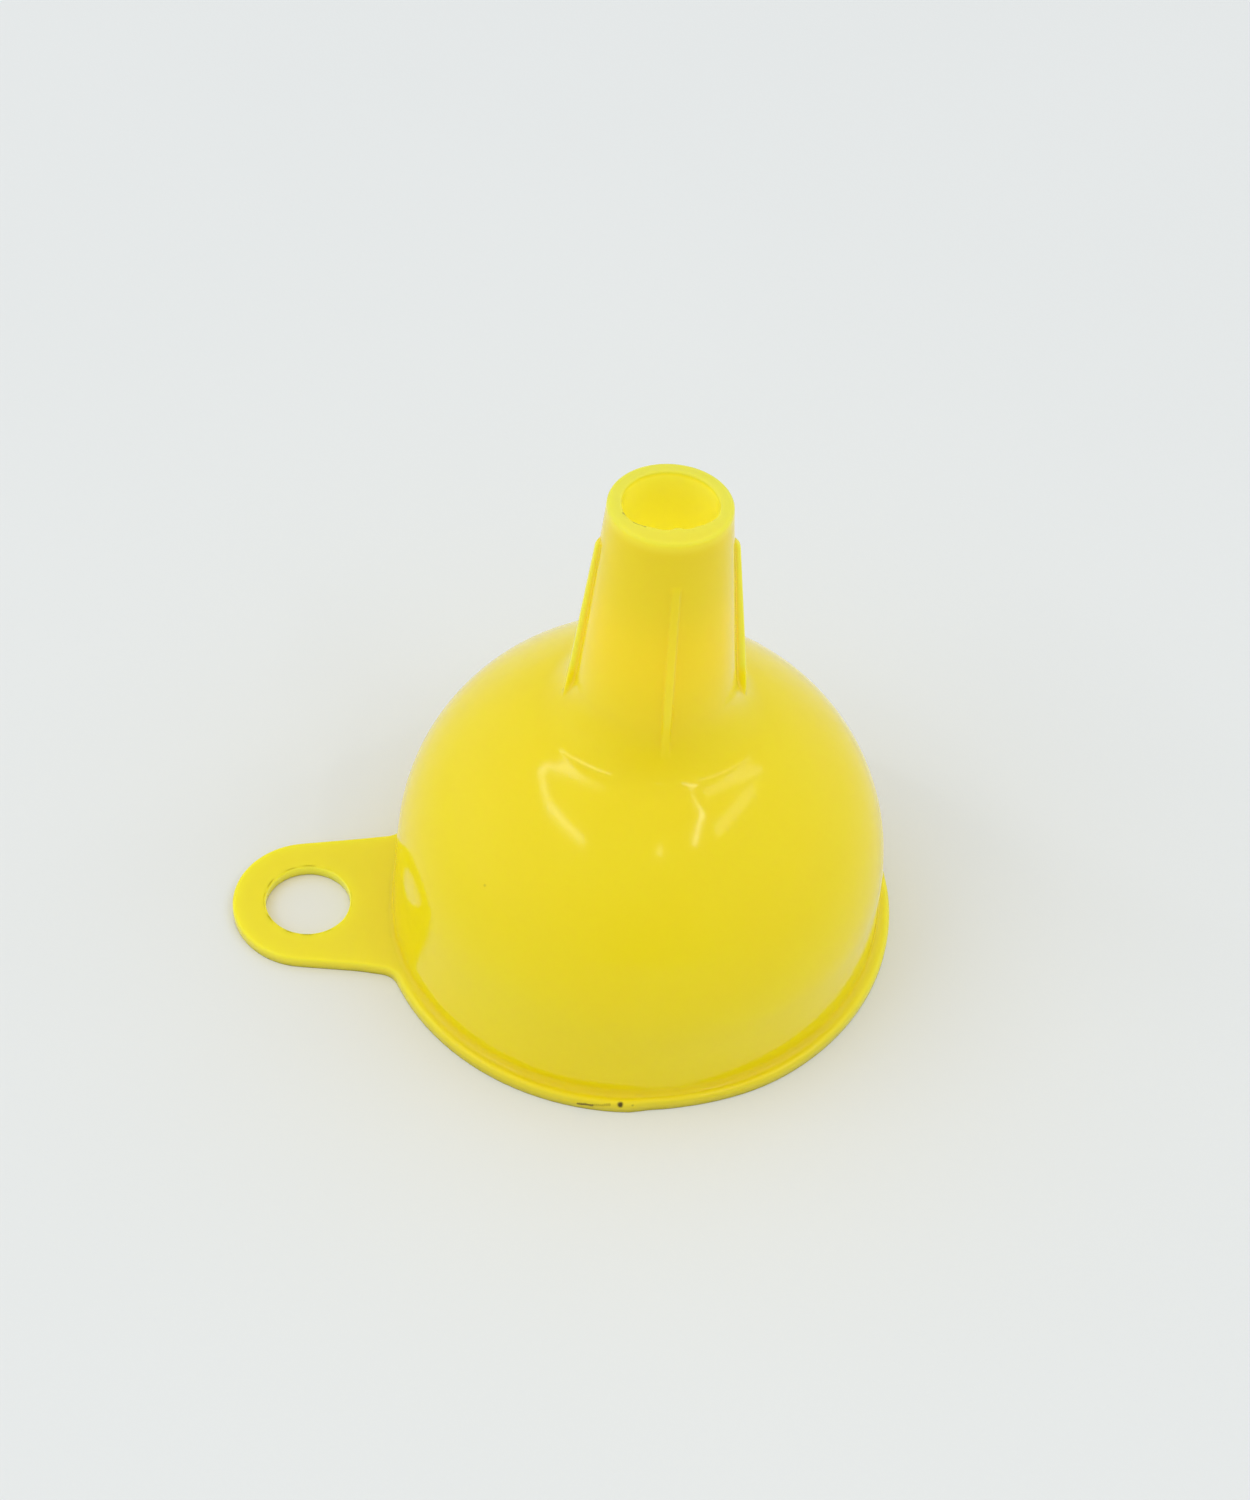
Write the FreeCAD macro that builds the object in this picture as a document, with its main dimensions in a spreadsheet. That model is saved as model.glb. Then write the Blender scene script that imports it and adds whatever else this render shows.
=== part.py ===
"""Small hang-up funnel, one plastic moulding, standing on its rim with the spout up.

Frame: millimetres, +Z up along the funnel's axis, origin on that axis in the plane of the
rim. The hang tab points to -X. The moulding is divided where its form changes, and the
regions meet face to face along surfaces square to the wall.
"""
import FreeCAD, Part
import math
import os

import Sketcher

DIMENSIONS = {
    "rim_radius": 30.0,          # outside of the rim flange
    "flange_thick": 1.5,         # rim flange, along the axis
    "flange_round": 0.7,         # rounding of the flange's upper outer edge
    "flange_ease": 0.3,          # rounding of the flange's lower outer edge
    "bowl_radius": 28.4,         # outside of the straight skirt
    "wall": 1.5,                 # wall of the bowl, neck and spout
    "skirt_top": 11.0,           # where the straight skirt turns into the dome
    "dome_radius": 24.6,         # outside arc of the dome, up to its shoulder
    "shoulder_start": 27.46,     # height where the dome's arc goes over into the shoulder's
    "shoulder_radius": 40.0,     # outside arc of the dome's flatter shoulder
    "neck_fillet": 8.0,          # hollow outside arc between shoulder and spout
    "cone_foot": 12.62,          # the spout's outside cone, carried down to the rim plane
    "tip_radius": 6.65,          # outside of the spout at its end
    "overall_height": 66.3,
    "lip_height": 1.4,           # end ring of the spout
    "lip_round": 0.45,           # rounding of the spout's end
    "bore_ease": 0.25,           # rounding of the bore's edge
    "rib_thick": 1.0,            # across the rib
    "rib_foot": 35.6,            # height where the crest line starts, inside the neck
    "rib_foot_reach": 10.4,      # crest line's distance from the axis at its foot
    "rib_top": 61.65,            # upper end of the rib
    "rib_top_reach": 7.58,       # crest line's distance from the axis at the rib's top
    "rib_shoulder": 1.3,         # rounding of the rib's upper end
    "rib_root": 4.0,             # inner edge of the rib's blank, inside the spout
    "tab_reach": 38.9,           # funnel's axis to the hang hole's axis
    "tab_end_radius": 8.9,
    "tab_root_half": 9.87,       # half width where the sides reach the rim's radius
    "tab_fillet": 2.2,           # hollow corner between tab and rim
    "tab_thick": 1.5,
    "tab_round": 0.35,           # rounding of the tab's upper outer edge
    "tab_ease": 0.25,            # rounding of the tab's lower outer edge
    "hole_ease": 0.2,            # rounding of the hang hole's edges
    "tab_inner": 24.0,           # inner end of the tab's blank, inside the bowl's wall
    "hang_hole_radius": 5.0,
}
RIB_BEARINGS = {"air_rib_right": 0, "air_rib_back": 90, "air_rib_left": 180, "air_rib_front": 270}

SAME = 0.01                      # two lengths closer than this are taken as equal
START, END, CENTRE = 1, 2, 3     # the points of a sketch's line or arc
AXIS_H, AXIS_V = -1, -2          # a sketch's own axes
ORIGIN = (AXIS_H, START)
FULL_TURN = 360                  # degrees

doc = FreeCAD.newDocument("funnel")
sheet = doc.addObject("Spreadsheet::Sheet", "dims")
for row, (alias, number) in enumerate(DIMENSIONS.items(), start=1):
    sheet.set("A%d" % row, alias)
    sheet.set("B%d" % row, str(number))
    sheet.setAlias("B%d" % row, alias)
doc.recompute()


def dim(name):
    """A driving dimension as a number, for the first position of a sketch's geometry."""
    return float(sheet.get(name))


def dome_centre():
    return FreeCAD.Vector(dim("bowl_radius") - dim("dome_radius"), dim("skirt_top"), 0)


def shoulder_ray():
    """Direction from the dome's centre to where its arc goes over into the shoulder's."""
    rise = (dim("shoulder_start") - dim("skirt_top")) / dim("dome_radius")
    return FreeCAD.Vector(math.sqrt(1 - rise * rise), rise, 0)


def shoulder_centre():
    return dome_centre() + shoulder_ray() * (dim("dome_radius") - dim("shoulder_radius"))


def cone_line():
    """Foot and tip of the spout's outside line, in the sketch's radius and height."""
    foot = FreeCAD.Vector(dim("cone_foot"), 0, 0)
    tip = FreeCAD.Vector(dim("tip_radius"), dim("overall_height"), 0)
    return foot, tip


def neck_centre():
    """Centre of the neck's arc, which touches both the shoulder and the cone from outside."""
    foot, tip = cone_line()
    along = (tip - foot).normalize()
    outward = FreeCAD.Vector(along.y, -along.x, 0)
    start = foot + outward * dim("neck_fillet")
    across = start - shoulder_centre()
    reach = dim("shoulder_radius") + dim("neck_fillet")
    half = along.dot(across)
    step = -half + math.sqrt(half * half - across.dot(across) + reach * reach)
    return start + along * step


class Profile:
    """A sketch on one of a body's own planes, with its sizes bound to the sheet."""

    def __init__(self, body, name, plane):
        self.sketch = body.newObject("Sketcher::SketchObject", name)
        support = next(f for f in body.Origin.OriginFeatures if f.Role == plane)
        self.sketch.AttachmentSupport = [(support, "")]
        self.sketch.MapMode = "FlatFace"

    def line(self, start, end, construction=False):
        return self.sketch.addGeometry(Part.LineSegment(start, end), construction)

    def arc(self, centre, radius, start_angle, end_angle):
        circle = Part.Circle(centre, FreeCAD.Vector(0, 0, 1), radius)
        return self.sketch.addGeometry(Part.ArcOfCircle(circle, start_angle, end_angle))

    def circle(self, centre, radius, construction=False):
        circle = Part.Circle(centre, FreeCAD.Vector(0, 0, 1), radius)
        return self.sketch.addGeometry(circle, construction)

    def tie(self, kind, *what):
        return self.sketch.addConstraint(Sketcher.Constraint(kind, *what))

    def size(self, kind, what, formula):
        """A dimension whose value follows the sheet: `dims.` is put before each alias."""
        words = [w if not w[0].isalpha() else "dims." + w for w in formula.split()]
        expression = " ".join(words)
        value = float(sheet.evalExpression(expression.replace("dims.", "")))
        index = self.sketch.addConstraint(Sketcher.Constraint(kind, *what, value))
        name = "size%d" % index
        self.sketch.renameConstraint(index, name)
        self.sketch.setExpression("Constraints." + name, expression)

    def place(self, geometry, end, across, up):
        """Puts a point at sheet values; a distance of "0" puts it on that axis."""
        for kind, formula in (("DistanceX", across), ("DistanceY", up)):
            if formula != "0":
                self.size(kind, (geometry, end), formula)
        if across == "0":
            self.tie("PointOnObject", geometry, end, AXIS_V)
        if up == "0":
            self.tie("PointOnObject", geometry, end, AXIS_H)

    def loop(self, lines):
        """Joins the end of each line to the start of the next, and the last to the first."""
        for this, following in zip(lines, lines[1:] + lines[:1]):
            self.tie("Coincident", this, END, following, START)

    def cone(self):
        foot, tip = cone_line()
        line = self.line(foot, tip, construction=True)
        self.place(line, START, "cone_foot", "0")
        self.place(line, END, "tip_radius", "overall_height")
        return line

    def neck_frame(self):
        """Construction lines: the cone, dome centre to the shoulder's start, shoulder centre
        to neck centre, and neck centre to the cone. The wall's arcs meet on them."""
        cone = self.cone()
        centre = neck_centre()
        foot, tip = cone_line()
        along = (tip - foot).normalize()
        touch = foot + along * along.dot(centre - foot)
        shoulder = dome_centre() + shoulder_ray() * dim("dome_radius")
        to_shoulder = self.line(dome_centre(), shoulder, construction=True)
        to_neck = self.line(shoulder_centre(), centre, construction=True)
        to_cone = self.line(centre, touch, construction=True)
        self.place(to_shoulder, START, "bowl_radius - dome_radius", "skirt_top")
        self.size("Distance", (to_shoulder,), "dome_radius")
        self.size("DistanceY", (to_shoulder, END), "shoulder_start")
        self.tie("PointOnObject", to_neck, START, to_shoulder)
        self.size("Distance", (to_neck, START, to_shoulder, END), "shoulder_radius")
        self.tie("Coincident", to_neck, END, to_cone, START)
        self.tie("PointOnObject", to_cone, END, cone)
        self.tie("Perpendicular", to_cone, cone)
        self.size("Distance", (to_neck,), "shoulder_radius + neck_fillet")
        self.size("Distance", (to_cone,), "neck_fillet")
        return cone, to_shoulder, to_neck, to_cone

    def dome_arcs(self, depth, to_shoulder, to_neck):
        """The dome's and the shoulder's arcs, a depth inside the outside line."""
        inside = float(sheet.evalExpression(depth)) if depth else 0.0
        joint, top = shoulder_angles()
        dome = self.arc(dome_centre(), dim("dome_radius") - inside, 0, joint)
        self.tie("Coincident", dome, CENTRE, to_shoulder, START)
        self.size("Radius", (dome,), "dome_radius - " + depth if depth else "dome_radius")
        self.size("DistanceY", (dome, START), "skirt_top")
        self.tie("PointOnObject", dome, END, to_shoulder)
        shoulder = self.arc(shoulder_centre(), dim("shoulder_radius") - inside, joint, top)
        self.tie("Coincident", shoulder, CENTRE, to_neck, START)
        self.tie("Coincident", shoulder, START, dome, END)
        self.tie("PointOnObject", shoulder, END, to_neck)
        return dome, shoulder


def shoulder_angles():
    """Bearings, in the sketch, of the shoulder's start and end from its centre."""
    ray = shoulder_ray()
    to_neck = neck_centre() - shoulder_centre()
    return math.atan2(ray.y, ray.x), math.atan2(to_neck.y, to_neck.x)


def neck_angles():
    """Bearings, in the sketch, of the cone and of the shoulder's centre from the neck's."""
    to_shoulder = shoulder_centre() - neck_centre()
    foot, tip = cone_line()
    along = (tip - foot).normalize()
    to_cone_angle = math.atan2(-along.x, -along.y) % math.tau
    return to_cone_angle, math.atan2(to_shoulder.y, to_shoulder.x) % math.tau


def new_body(label):
    body = doc.addObject("PartDesign::Body", label)
    body.Label = label
    return body


def revolve(body, profile):
    feature = body.newObject("PartDesign::Revolution", body.Name + "_turn")
    feature.Profile = profile.sketch
    feature.ReferenceAxis = (profile.sketch, ["V_Axis"])
    feature.Angle = FULL_TURN
    doc.recompute()
    return feature


def round_edges(body, feature, names, alias):
    fillet = body.newObject("PartDesign::Fillet", "%s_%s" % (body.Name, alias))
    fillet.Base = (feature, names)
    fillet.setExpression("Radius", "dims." + alias)
    doc.recompute()
    return fillet


def round_circle(body, feature, radius, height, alias):
    """Rounds the circular edge of the given radius and height."""
    names = []
    for number, edge in enumerate(feature.Shape.Edges, start=1):
        curve = edge.Curve
        if isinstance(curve, Part.Circle) and edge.isClosed():
            if abs(curve.Radius - radius) < SAME and abs(curve.Center.z - height) < SAME:
                names.append("Edge%d" % number)
    if len(names) != 1:
        raise RuntimeError("%s: %d edges of radius %.2f" % (body.Label, len(names), radius))
    return round_edges(body, feature, names, alias)


def ring_section(profile, corners):
    """Four-sided section whose corners are (radius formula, height formula) pairs."""
    def number(formula):
        return float(sheet.evalExpression(formula)) if formula != "0" else 0.0
    points = [FreeCAD.Vector(number(a), number(b), 0) for a, b in corners]
    lines = [profile.line(a, b) for a, b in zip(points, points[1:] + points[:1])]
    profile.loop(lines)
    for line, (across, up) in zip(lines, corners):
        profile.place(line, START, across, up)


def round_rim(body, feature):
    """Eases the flange's two outer edges, on the flange itself and on the outer form."""
    radius = dim("rim_radius")
    feature = round_circle(body, feature, radius, dim("flange_thick"), "flange_round")
    return round_circle(body, feature, radius, 0.0, "flange_ease")


def make_rim_flange():
    body = new_body("rim_flange")
    profile = Profile(body, "rim_flange_section", "XZ_Plane")
    ring_section(profile, [("bowl_radius", "0"), ("rim_radius", "0"),
                           ("rim_radius", "flange_thick"), ("bowl_radius", "flange_thick")])
    round_rim(body, revolve(body, profile))
    return body


def make_bowl_skirt():
    body = new_body("bowl_skirt")
    profile = Profile(body, "bowl_skirt_section", "XZ_Plane")
    inner = "bowl_radius - wall"
    ring_section(profile, [(inner, "0"), ("bowl_radius", "0"),
                           ("bowl_radius", "skirt_top"), (inner, "skirt_top")])
    revolve(body, profile)
    return body


def make_bowl_dome():
    """Wall from the skirt to the neck: a dome with a flatter shoulder."""
    body = new_body("bowl_dome")
    profile = Profile(body, "bowl_dome_section", "XZ_Plane")
    cone, to_shoulder, to_neck, to_cone = profile.neck_frame()
    outer = profile.dome_arcs("", to_shoulder, to_neck)
    inner = profile.dome_arcs("wall", to_shoulder, to_neck)
    close_ends(profile, outer, inner)
    revolve(body, profile)
    return body


def make_spout_neck():
    """Hollow outside curve that carries the shoulder into the spout."""
    body = new_body("spout_neck")
    profile = Profile(body, "spout_neck_section", "XZ_Plane")
    cone, to_shoulder, to_neck, to_cone = profile.neck_frame()
    to_cone_angle, to_shoulder_angle = neck_angles()
    arcs = []
    for formula in ("neck_fillet", "neck_fillet + wall"):
        radius = float(sheet.evalExpression(formula))
        arc = profile.arc(neck_centre(), radius, to_cone_angle, to_shoulder_angle)
        profile.tie("Coincident", arc, CENTRE, to_neck, END)
        profile.size("Radius", (arc,), formula)
        profile.tie("PointOnObject", arc, START, to_cone)
        profile.tie("PointOnObject", arc, END, to_neck)
        arcs.append(arc)
    outer, inner = arcs
    close_ends(profile, [outer], [inner])
    revolve(body, profile)
    return body


def close_ends(profile, outer, inner):
    """Closes a section between two parallel chains of arcs with a line at each end."""
    geometry = profile.sketch.Geometry
    for arcs, end, point in (((outer[0], inner[0]), START, "StartPoint"),
                             ((outer[-1], inner[-1]), END, "EndPoint")):
        line = profile.line(*(getattr(geometry[arc], point) for arc in arcs))
        profile.tie("Coincident", line, START, arcs[0], end)
        profile.tie("Coincident", line, END, arcs[1], end)


def cone_point(height, depth):
    """Point of the spout's wall at a height, a depth inside its outside line."""
    foot, tip = cone_line()
    slope = (foot.x - tip.x) / tip.y
    return FreeCAD.Vector(foot.x - slope * height - depth * math.hypot(1, slope), height, 0)


def make_spout_tube():
    body = new_body("spout_tube")
    profile = Profile(body, "spout_tube_section", "XZ_Plane")
    cone, to_shoulder, to_neck, to_cone = profile.neck_frame()
    top = dim("overall_height") - dim("lip_height")
    touch = profile.sketch.Geometry[to_cone].EndPoint
    inward = (touch - neck_centre()).normalize() * dim("wall")
    corners = [touch, cone_point(top, 0), cone_point(top, dim("wall")), touch + inward]
    lines = [profile.line(a, b) for a, b in zip(corners, corners[1:] + corners[:1])]
    profile.loop(lines)
    outer, upper, inner, lower = lines
    profile.tie("Coincident", outer, START, to_cone, END)
    profile.tie("PointOnObject", outer, END, cone)
    profile.size("DistanceY", (outer, END), "overall_height - lip_height")
    profile.tie("Horizontal", upper)
    profile.tie("Parallel", inner, cone)
    profile.tie("PointOnObject", lower, START, to_cone)
    profile.size("Distance", (lower,), "wall")
    revolve(body, profile)
    return body


def make_spout_lip():
    body = new_body("spout_lip")
    profile = Profile(body, "spout_lip_section", "XZ_Plane")
    cone = profile.cone()
    top, bottom = dim("overall_height"), dim("overall_height") - dim("lip_height")
    wall = dim("wall")
    corners = [cone_point(bottom, 0), cone_point(top, 0), cone_point(top, wall),
               cone_point(bottom, wall)]
    lines = [profile.line(a, b) for a, b in zip(corners, corners[1:] + corners[:1])]
    profile.loop(lines)
    outer, upper, inner, lower = lines
    profile.tie("PointOnObject", outer, START, cone)
    profile.size("DistanceY", (outer, START), "overall_height - lip_height")
    profile.tie("Coincident", outer, END, cone, END)
    profile.tie("Horizontal", upper)
    profile.tie("Horizontal", lower)
    profile.tie("Parallel", inner, cone)
    profile.size("Distance", (inner, START, cone), "wall")
    feature = revolve(body, profile)
    feature = round_circle(body, feature, dim("tip_radius"), top, "lip_round")
    round_circle(body, feature, cone_point(top, wall).x, top, "bore_ease")
    return body


def make_outer_form():
    """The outside of the funnel as one solid turned form. It is no sub-part: it shapes the
    inner ends of the tab and the ribs, so that they fit the wall."""
    body = new_body("outer_form")
    profile = Profile(body, "outer_form_section", "XZ_Plane")
    cone, to_shoulder, to_neck, to_cone = profile.neck_frame()
    top = dim("overall_height")
    rim, bowl, flange = dim("rim_radius"), dim("bowl_radius"), dim("flange_thick")
    dome, shoulder = profile.dome_arcs("", to_shoulder, to_neck)
    neck = profile.arc(neck_centre(), dim("neck_fillet"), *neck_angles())
    profile.tie("Coincident", neck, CENTRE, to_neck, END)
    profile.tie("Coincident", neck, END, shoulder, END)
    profile.tie("PointOnObject", neck, START, to_cone)
    foot_corners = [FreeCAD.Vector(0, 0, 0), FreeCAD.Vector(rim, 0, 0),
                    FreeCAD.Vector(rim, flange, 0), FreeCAD.Vector(bowl, flange, 0),
                    FreeCAD.Vector(bowl, dim("skirt_top"), 0)]
    spout_corners = [profile.sketch.Geometry[to_cone].EndPoint, cone_point(top, 0),
                     FreeCAD.Vector(0, top, 0)]
    foot = [profile.line(a, b) for a, b in zip(foot_corners, foot_corners[1:])]
    spout = [profile.line(a, b) for a, b in zip(spout_corners, spout_corners[1:])]
    axis = profile.line(spout_corners[-1], foot_corners[0])
    for chain in (foot, spout + [axis]):
        for this, following in zip(chain, chain[1:]):
            profile.tie("Coincident", this, END, following, START)
    profile.tie("Coincident", axis, END, foot[0], START)
    profile.tie("Coincident", foot[0], START, *ORIGIN)
    profile.place(foot[0], END, "rim_radius", "0")
    profile.place(foot[1], END, "rim_radius", "flange_thick")
    profile.place(foot[2], END, "bowl_radius", "flange_thick")
    profile.tie("Coincident", foot[3], END, dome, START)
    profile.tie("Coincident", spout[0], START, neck, START)
    profile.tie("Coincident", spout[0], END, cone, END)
    profile.place(axis, START, "0", "overall_height")
    round_rim(body, revolve(body, profile))
    return body


def pad(body, profile, alias, symmetric=False):
    feature = body.newObject("PartDesign::Pad", body.Name + "_pad")
    feature.Profile = profile.sketch
    feature.setExpression("Length", "dims." + alias)
    if symmetric:
        feature.SideType = "Symmetric"
    doc.recompute()
    return feature


def fit_to_wall(label, blank, outer_form):
    """What stands outside the funnel's wall of a blank that reaches into it."""
    cut = doc.addObject("Part::Cut", label)
    cut.Label = label
    cut.Base = blank
    cut.Tool = outer_form
    return cut


def make_rib_blank(label, bearing):
    """Fin in a plane through the axis: straight crest line, rounded at its upper end."""
    body = new_body(label + "_blank")
    profile = Profile(body, label + "_side", "XZ_Plane")
    foot = FreeCAD.Vector(dim("rib_foot_reach"), dim("rib_foot"), 0)
    crest = FreeCAD.Vector(dim("rib_top_reach"), dim("rib_top"), 0)
    radius = dim("rib_shoulder")
    lean = (crest - foot).normalize()
    half_turn = math.acos(lean.x) / 2
    back_off = radius * math.tan(half_turn)
    crest_end = crest - lean * back_off
    top_start = crest - FreeCAD.Vector(back_off, 0, 0)
    inner_top = FreeCAD.Vector(dim("rib_root"), dim("rib_top"), 0)
    inner_foot = FreeCAD.Vector(dim("rib_root"), dim("rib_foot"), 0)
    under = profile.line(inner_foot, foot)
    edge = profile.line(foot, crest_end)
    start_angle = math.atan2(-lean.x, lean.y)
    shoulder = profile.arc(top_start - FreeCAD.Vector(0, radius, 0), radius,
                           start_angle, math.pi / 2)
    top = profile.line(top_start, inner_top)
    root = profile.line(inner_top, inner_foot)
    corner = profile.sketch.addGeometry(Part.Point(crest), True)
    profile.tie("Coincident", root, END, under, START)
    profile.tie("Coincident", under, END, edge, START)
    profile.tie("Tangent", edge, END, shoulder, START)
    profile.tie("Tangent", shoulder, END, top, START)
    profile.tie("Coincident", top, END, root, START)
    profile.place(under, START, "rib_root", "rib_foot")
    profile.place(edge, START, "rib_foot_reach", "rib_foot")
    profile.place(corner, START, "rib_top_reach", "rib_top")
    profile.tie("PointOnObject", corner, START, edge)
    profile.place(root, START, "rib_root", "rib_top")
    profile.tie("Horizontal", top)
    profile.size("Radius", (shoulder,), "rib_shoulder")
    pad(body, profile, "rib_thick", symmetric=True)
    body.Placement.Rotation = FreeCAD.Rotation(FreeCAD.Vector(0, 0, 1), bearing)
    return body


def make_tab_blank():
    """Flat tab: round end about the hang hole, sides that widen towards the rim, and a
    hollow corner each side where they reach it."""
    body = new_body("hang_tab_blank")
    profile = Profile(body, "hang_tab_outline", "XY_Plane")
    radius, rim, corner = dim("tab_end_radius"), dim("rim_radius"), dim("tab_fillet")
    hole_centre = FreeCAD.Vector(-dim("tab_reach"), 0, 0)
    root = FreeCAD.Vector(-rim, dim("tab_root_half"), 0)
    to_root = root - hole_centre
    touch_angle = math.atan2(to_root.y, to_root.x) + math.acos(radius / to_root.Length)
    outward = FreeCAD.Vector(math.cos(touch_angle), math.sin(touch_angle), 0)
    touch = hole_centre + outward * radius
    along = (root - touch).normalize()
    start = touch + outward * corner
    half = along.dot(start)
    step = -half - math.sqrt(half * half - start.dot(start) + (rim + corner) ** 2)
    corner_centre = start + along * step
    side_end = touch + along * step
    on_rim = corner_centre * (rim / (rim + corner))
    inner_end = FreeCAD.Vector(-dim("tab_inner"), on_rim.y, 0)

    end_arc = profile.arc(hole_centre, radius, touch_angle, math.tau - touch_angle)
    profile.place(end_arc, CENTRE, "- tab_reach", "0")
    profile.size("Radius", (end_arc,), "tab_end_radius")
    inner = profile.line(inner_end, across_axis(inner_end))
    profile.tie("Vertical", inner)
    profile.size("DistanceX", (inner, START), "- tab_inner")
    to_edge = math.atan2(-outward.y, -outward.x)
    to_foot = math.atan2(-on_rim.y, -on_rim.x)
    for far_side, arc_end, sign in ((False, START, ""), (True, END, "- ")):
        side = across_axis if far_side else FreeCAD.Vector
        edge = profile.line(side(touch), side(side_end))
        angles = (-to_foot, -to_edge) if far_side else (to_edge, to_foot)
        edge_at, foot_at = (END, START) if far_side else (START, END)
        hollow = profile.arc(side(corner_centre), corner, *angles)
        inward = profile.line(side(on_rim), side(inner_end))
        to_corner = profile.line(FreeCAD.Vector(0, 0, 0), side(corner_centre), True)
        limit = profile.sketch.addGeometry(Part.Point(side(root)), True)
        profile.tie("Coincident", to_corner, START, *ORIGIN)
        profile.tie("Coincident", to_corner, END, hollow, CENTRE)
        profile.size("Distance", (to_corner,), "rim_radius + tab_fillet")
        profile.size("Radius", (hollow,), "tab_fillet")
        profile.tie("PointOnObject", hollow, foot_at, to_corner)
        profile.tie("Tangent", edge, START, end_arc, arc_end)
        profile.tie("Tangent", edge, END, hollow, edge_at)
        profile.tie("Coincident", inward, START, hollow, foot_at)
        profile.tie("Coincident", inward, END, inner, arc_end)
        profile.tie("Horizontal", inward)
        profile.tie("PointOnObject", limit, START, edge)
        profile.place(limit, START, "- rim_radius", sign + "tab_root_half")
    hole = profile.circle(hole_centre, dim("hang_hole_radius"))
    profile.tie("Coincident", hole, CENTRE, end_arc, CENTRE)
    profile.size("Radius", (hole,), "hang_hole_radius")
    feature = pad(body, profile, "tab_thick")
    for height, alias in ((dim("tab_thick"), "tab_round"), (0.0, "tab_ease")):
        names = outline_edges(feature, height, rim)
        feature = round_edges(body, feature, names, alias)
    for height, alias in ((dim("tab_thick"), "hole_ease"), (0.0, "hole_ease")):
        feature = round_circle(body, feature, dim("hang_hole_radius"), height, alias)
    return body


def outline_edges(feature, height, rim):
    """The tab's outline outside the rim at one height, without the hang hole."""
    names = []
    for number, edge in enumerate(feature.Shape.Edges, start=1):
        middle = edge.valueAt((edge.FirstParameter + edge.LastParameter) / 2)
        level = abs(edge.BoundBox.ZMin - height) < SAME and abs(middle.z - height) < SAME
        if level and not edge.isClosed() and math.hypot(middle.x, middle.y) > rim:
            names.append("Edge%d" % number)
    return names


def across_axis(point):
    """The point on the other side of the tab's centre line."""
    return FreeCAD.Vector(point.x, -point.y, 0)


def check_document():
    for item in doc.Objects:
        if "Invalid" in item.State or "Error" in item.State:
            raise RuntimeError("%s: %s" % (item.Label, item.State))


def check_sketches():
    for item in doc.Objects:
        if item.TypeId == "Sketcher::SketchObject":
            if item.solve() != 0 or not item.FullyConstrained:
                raise RuntimeError("%s isn't fully constrained" % item.Label)


funnel_outside = make_outer_form()
sub_parts = [make_rim_flange(), make_bowl_skirt(), make_bowl_dome(), make_spout_neck(),
             make_spout_tube(), make_spout_lip()]
sub_parts.append(fit_to_wall("hang_tab", make_tab_blank(), funnel_outside))
for rib_label, rib_bearing in RIB_BEARINGS.items():
    rib_blank = make_rib_blank(rib_label, rib_bearing)
    sub_parts.append(fit_to_wall(rib_label, rib_blank, funnel_outside))

doc.recompute()
check_document()
check_sketches()
for part in sub_parts:
    if part.Shape.isNull() or not part.Shape.isValid() or len(part.Shape.Solids) != 1:
        raise RuntimeError("%s: not one valid solid" % part.Label)

os.makedirs("parts", exist_ok=True)
for part in sub_parts:
    part.Shape.exportStep("parts/%s.step" % part.Label)
    box = part.Shape.BoundBox
    print("%-15s volume %8.1f  z %6.2f..%6.2f" % (part.Label, part.Shape.Volume, box.ZMin, box.ZMax))
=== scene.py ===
"""Looks of the small yellow funnel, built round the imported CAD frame.

The real funnel is one moulding, so one closed skin stands for all of its CAD nodes. The skin
repeats their sizes and adds what a moulding has and the solids leave out: the small hollow
curves where walls meet, a rim that is a little out of round, surface ripple, and marks of use.
Lengths are in millimetres until the mesh is made.
"""
import math

import bpy
import numpy as np
from mathutils import Matrix, Vector
from mathutils.geometry import delaunay_2d_cdt


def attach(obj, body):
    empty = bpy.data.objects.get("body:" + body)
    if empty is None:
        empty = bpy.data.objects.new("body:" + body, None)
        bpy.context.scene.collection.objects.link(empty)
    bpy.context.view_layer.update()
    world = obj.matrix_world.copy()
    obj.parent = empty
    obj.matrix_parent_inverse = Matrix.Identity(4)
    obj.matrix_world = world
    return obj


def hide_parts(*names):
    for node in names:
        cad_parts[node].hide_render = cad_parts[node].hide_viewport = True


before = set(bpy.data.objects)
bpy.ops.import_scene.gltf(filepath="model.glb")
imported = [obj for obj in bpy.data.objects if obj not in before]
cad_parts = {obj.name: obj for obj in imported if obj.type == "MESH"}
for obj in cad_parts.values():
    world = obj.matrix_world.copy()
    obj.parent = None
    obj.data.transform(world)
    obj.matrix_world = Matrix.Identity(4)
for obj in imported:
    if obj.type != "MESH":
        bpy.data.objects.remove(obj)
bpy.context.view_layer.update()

MM = 0.001

# Sizes of the moulding, as in the CAD frame.
RIM_R = 30.0
FLANGE_T = 1.5
FLANGE_ROUND, FLANGE_EASE = 0.7, 0.1
BOWL_R = 28.4
WALL = 1.5
SKIRT_TOP = 11.0
DOME_R = 24.6
SHOULDER_R = 40.0
SHOULDER_FROM = math.radians(42.0)
NECK_R = 8.0
CONE_FOOT, TIP_R = 12.62, 6.65
HEIGHT = 66.3
LIP_ROUND, BORE_EASE = 0.45, 0.25
RIB_HALF = 0.5
RIB_FOOT = (10.4, 35.6)
RIB_TOP = (7.58, 61.65)
RIB_SHOULDER = 1.3
TAB_REACH, TAB_END_R = 38.9, 8.9
TAB_ROOT_HALF, TAB_FILLET = 9.87, 2.2
TAB_ROUND, TAB_EASE = 0.35, 0.1
HOLE_R, HOLE_EASE = 5.0, 0.2

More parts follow.
